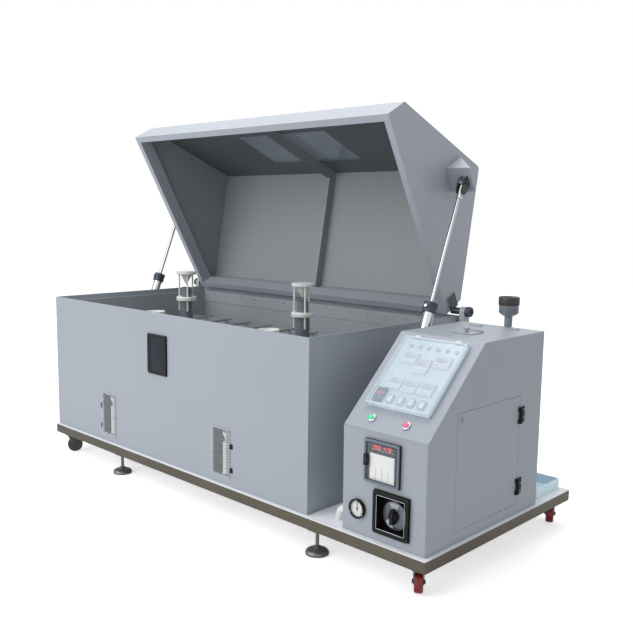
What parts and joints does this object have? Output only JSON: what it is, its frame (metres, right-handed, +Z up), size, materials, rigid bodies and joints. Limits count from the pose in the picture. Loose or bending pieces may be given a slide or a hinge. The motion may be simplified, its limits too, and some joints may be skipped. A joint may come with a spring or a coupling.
{
  "type": "salt fog test chamber",
  "caption": "Long salt fog corrosion chamber with a gable lid on two lift cylinders, spray towers, a sloping control cabinet and a castored base.",
  "frame": {"origin": "on the floor, under the middle of the room the open chamber takes up, measured along and across it", "axes": "+X along the tank from its left end to the control cabinet, +Y from the front to the lid's hinges, +Z up"},
  "size_m": [2.826, 1.3292, 1.9764],
  "materials": {
    "grey_board": "satin grey moulded board",
    "inner_board": "satin grey board inside",
    "lid_board": "satin pale grey board",
    "steel_frame": "brushed stainless tube",
    "white_tray": "pale painted sheet",
    "white_plastic": "glossy white",
    "grey_pipe": "dark grey pipe",
    "black_plastic": "matt black",
    "clear_acrylic": "clear sheet",
    "window_glass": "clear pane",
    "silver": "polished rod",
    "cylinder_grey": "satin barrel",
    "dark_bracket": "dark painted",
    "castor_red": "red brown wheel and fork",
    "steel_foot": "steel foot",
    "panel_white": "white instrument panel",
    "button_green": "lit green",
    "button_red": "lit red",
    "needle_black": "black needle",
    "tub_blue": "pale blue tub",
    "saturator_steel": "brushed vessel",
    "screw_steel": "bright screws",
    "dial_silver": "silver dial knob"
  },
  "bodies": {
    "chamber_base": {"base_frame": "steel_frame", "base_tray": "white_tray", "tank_panels": "grey_board", "tank_liner": "inner_board", "niche_boxes": "black_plastic", "sight_window": "black_plastic", "spray_towers": "grey_pipe", "tower_collars": "white_plastic", "fog_collectors": "white_plastic", "specimen_rack": "inner_board", "end_brackets": "dark_bracket", "cabinet_panels": "grey_board", "panel_instruments": "panel_white", "recorder_body": "black_plastic", "gauge_case": "black_plastic", "regulator_housing": "black_plastic", "door_hinges": "black_plastic", "filler_funnel": "grey_pipe", "solution_tub": "tub_blue", "drain_elbow": "white_plastic", "air_saturator": "saturator_steel", "panel_screws": "screw_steel"},
    "lid": {"lid_rim": "lid_board", "lid_shell": "lid_board", "lid_window": "window_glass", "lid_brackets": "lid_board", "hinge_pins": "black_plastic"},
    "left_barrel": {"left_lift_barrel": "cylinder_grey"},
    "left_rod": {"left_lift_rod": "silver"},
    "right_barrel": {"right_lift_barrel": "cylinder_grey"},
    "right_rod": {"right_lift_rod": "silver"},
    "front_left_fork": {"front_left_castor_fork": "castor_red"},
    "front_left_wheel": {"front_left_castor_wheel": "castor_red"},
    "front_right_fork": {"front_right_castor_fork": "castor_red"},
    "front_right_wheel": {"front_right_castor_wheel": "castor_red"},
    "rear_left_fork": {"rear_left_castor_fork": "castor_red"},
    "rear_left_wheel": {"rear_left_castor_wheel": "castor_red"},
    "rear_right_fork": {"rear_right_castor_fork": "castor_red"},
    "rear_right_wheel": {"rear_right_castor_wheel": "castor_red"},
    "front_left_foot": {"front_left_foot": "steel_foot"},
    "front_right_foot": {"front_right_foot": "steel_foot"},
    "rear_left_foot": {"rear_left_foot": "steel_foot"},
    "rear_right_foot": {"rear_right_foot": "steel_foot"},
    "left_head": {"left_tower_head": "white_plastic"},
    "right_head": {"right_tower_head": "white_plastic"},
    "left_cover": {"left_niche_cover": "clear_acrylic"},
    "right_cover": {"right_niche_cover": "clear_acrylic"},
    "instrument_cover": {"panel_cover": "clear_acrylic"},
    "green_button_body": {"green_button": "button_green"},
    "red_button_body": {"red_button": "button_red"},
    "rocker_1": {"rocker_switch_1": "black_plastic"},
    "rocker_2": {"rocker_switch_2": "black_plastic"},
    "rocker_3": {"rocker_switch_3": "black_plastic"},
    "rocker_4": {"rocker_switch_4": "black_plastic"},
    "recorder_front": {"recorder_door": "clear_acrylic"},
    "needle": {"gauge_needle": "needle_black"},
    "dial": {"regulator_knob": "dial_silver"},
    "cabinet_side_door": {"side_door": "grey_board"},
    "hatch": {"hatch_lid": "grey_board"}
  },
  "joints": [
    {"name": "lid_hinge", "type": "hinge", "parent": "chamber_base", "child": "lid", "pos_m": [-0.271, 0.46745, 0.968], "axis": [1, 0, 0], "range_deg": [0, 61.4]},
    {"name": "left_barrel_swing", "type": "hinge", "parent": "chamber_base", "child": "left_barrel", "pos_m": [-1.373, -0.12055, 0.362], "axis": [1, 0, 0], "range_deg": [0, 23.39]},
    {"name": "left_rod_slide", "type": "slide", "parent": "left_barrel", "child": "left_rod", "axis": [0, 0.3667, 0.9304], "range_m": [-0.51428, 0]},
    {"name": "right_barrel_swing", "type": "hinge", "parent": "chamber_base", "child": "right_barrel", "pos_m": [0.831, -0.12055, 0.362], "axis": [1, 0, 0], "range_deg": [0, 23.39]},
    {"name": "right_rod_slide", "type": "slide", "parent": "right_barrel", "child": "right_rod", "axis": [0, 0.3667, 0.9304], "range_m": [-0.51428, 0]},
    {"name": "front_left_swivel", "type": "hinge", "parent": "chamber_base", "child": "front_left_fork", "pos_m": [-1.258, -0.60955, 0.1147], "axis": [0, 0, 1], "continuous": true},
    {"name": "front_left_roll", "type": "hinge", "parent": "front_left_fork", "child": "front_left_wheel", "pos_m": [-1.2455, -0.5879, 0.044], "axis": [-0.866, 0.5, 0], "continuous": true},
    {"name": "front_right_swivel", "type": "hinge", "parent": "chamber_base", "child": "front_right_fork", "pos_m": [1.348, -0.60955, 0.1147], "axis": [0, 0, 1], "continuous": true},
    {"name": "front_right_roll", "type": "hinge", "parent": "front_right_fork", "child": "front_right_wheel", "pos_m": [1.33366, -0.58907, 0.044], "axis": [-0.8192, -0.5736, 0], "continuous": true},
    {"name": "rear_left_swivel", "type": "hinge", "parent": "chamber_base", "child": "rear_left_fork", "pos_m": [-1.258, 0.43745, 0.1147], "axis": [0, 0, 1], "continuous": true},
    {"name": "rear_left_roll", "type": "hinge", "parent": "rear_left_fork", "child": "rear_left_wheel", "pos_m": [-1.2455, 0.4591, 0.044], "axis": [-0.866, 0.5, 0], "continuous": true},
    {"name": "rear_right_swivel", "type": "hinge", "parent": "chamber_base", "child": "rear_right_fork", "pos_m": [1.348, 0.43745, 0.1147], "axis": [0, 0, 1], "continuous": true},
    {"name": "rear_right_roll", "type": "hinge", "parent": "rear_right_fork", "child": "rear_right_wheel", "pos_m": [1.33704, 0.45992, 0.044], "axis": [-0.8988, -0.4384, 0], "continuous": true},
    {"name": "front_left_foot_screw", "type": "slide", "parent": "chamber_base", "child": "front_left_foot", "axis": [0, 0, 1], "range_m": [-0.004, 0.02]},
    {"name": "front_right_foot_screw", "type": "slide", "parent": "chamber_base", "child": "front_right_foot", "axis": [0, 0, 1], "range_m": [-0.004, 0.02]},
    {"name": "rear_left_foot_screw", "type": "slide", "parent": "chamber_base", "child": "rear_left_foot", "axis": [0, 0, 1], "range_m": [-0.004, 0.02]},
    {"name": "rear_right_foot_screw", "type": "slide", "parent": "chamber_base", "child": "rear_right_foot", "axis": [0, 0, 1], "range_m": [-0.004, 0.02]},
    {"name": "left_head_lift", "type": "slide", "parent": "chamber_base", "child": "left_head", "axis": [0, 0, 1], "range_m": [0, 0.04]},
    {"name": "right_head_lift", "type": "slide", "parent": "chamber_base", "child": "right_head", "axis": [0, 0, 1], "range_m": [0, 0.04]},
    {"name": "left_cover_hinge", "type": "hinge", "parent": "chamber_base", "child": "left_cover", "pos_m": [-0.837, -0.65005, 0.321], "axis": [0, 0, -1], "range_deg": [0, 100]},
    {"name": "right_cover_hinge", "type": "hinge", "parent": "chamber_base", "child": "right_cover", "pos_m": [0.278, -0.65005, 0.321], "axis": [0, 0, 1], "range_deg": [0, 100]},
    {"name": "instrument_cover_hinge", "type": "hinge", "parent": "chamber_base", "child": "instrument_cover", "pos_m": [1.186, -0.29737, 0.94858], "axis": [-1, 0, 0], "range_deg": [0, 80]},
    {"name": "green_button_press", "type": "slide", "parent": "chamber_base", "child": "green_button_body", "axis": [0, 0.6837, -0.7298], "range_m": [0, 0.004], "stiffness_N_per_m": 400, "springref_m": -0.002},
    {"name": "red_button_press", "type": "slide", "parent": "chamber_base", "child": "red_button_body", "axis": [0, 0.6837, -0.7298], "range_m": [0, 0.004], "stiffness_N_per_m": 400, "springref_m": -0.002},
    {"name": "rocker_1_tilt", "type": "hinge", "parent": "chamber_base", "child": "rocker_1", "pos_m": [1.126, -0.53387, 0.72566], "axis": [1, 0, 0], "range_deg": [-6, 6]},
    {"name": "rocker_2_tilt", "type": "hinge", "parent": "chamber_base", "child": "rocker_2", "pos_m": [1.178, -0.53387, 0.72566], "axis": [1, 0, 0], "range_deg": [-6, 6]},
    {"name": "rocker_3_tilt", "type": "hinge", "parent": "chamber_base", "child": "rocker_3", "pos_m": [1.23, -0.53387, 0.72566], "axis": [1, 0, 0], "range_deg": [-6, 6]},
    {"name": "rocker_4_tilt", "type": "hinge", "parent": "chamber_base", "child": "rocker_4", "pos_m": [1.282, -0.53387, 0.72566], "axis": [1, 0, 0], "range_deg": [-6, 6]},
    {"name": "recorder_door_hinge", "type": "hinge", "parent": "chamber_base", "child": "recorder_front", "pos_m": [1.27, -0.65235, 0.496], "axis": [0, 0, 1], "range_deg": [0, 110]},
    {"name": "needle_turn", "type": "hinge", "parent": "chamber_base", "child": "needle", "pos_m": [1.06, -0.64655, 0.279], "axis": [0, 1, 0], "range_deg": [-135, 135]},
    {"name": "dial_turn", "type": "hinge", "parent": "chamber_base", "child": "dial", "pos_m": [1.236, -0.62255, 0.291], "axis": [0, 1, 0], "continuous": true},
    {"name": "side_door_hinge", "type": "hinge", "parent": "chamber_base", "child": "cabinet_side_door", "pos_m": [1.4033, 0.0182, 0.459], "axis": [0, 0, 1], "range_deg": [0, 110]},
    {"name": "hatch_hinge", "type": "hinge", "parent": "chamber_base", "child": "hatch", "pos_m": [1.198, -0.04755, 0.9663], "axis": [-1, 0, 0], "range_deg": [0, 100]}
  ],
  "couplings": [
    {"joint": "left_barrel_swing", "follows": "lid_hinge", "ratio": 0.3807},
    {"joint": "left_rod_slide", "follows": "lid_hinge", "m_per_rad": -0.47972},
    {"joint": "right_barrel_swing", "follows": "lid_hinge", "ratio": 0.3807},
    {"joint": "right_rod_slide", "follows": "lid_hinge", "m_per_rad": -0.47972}
  ]
}
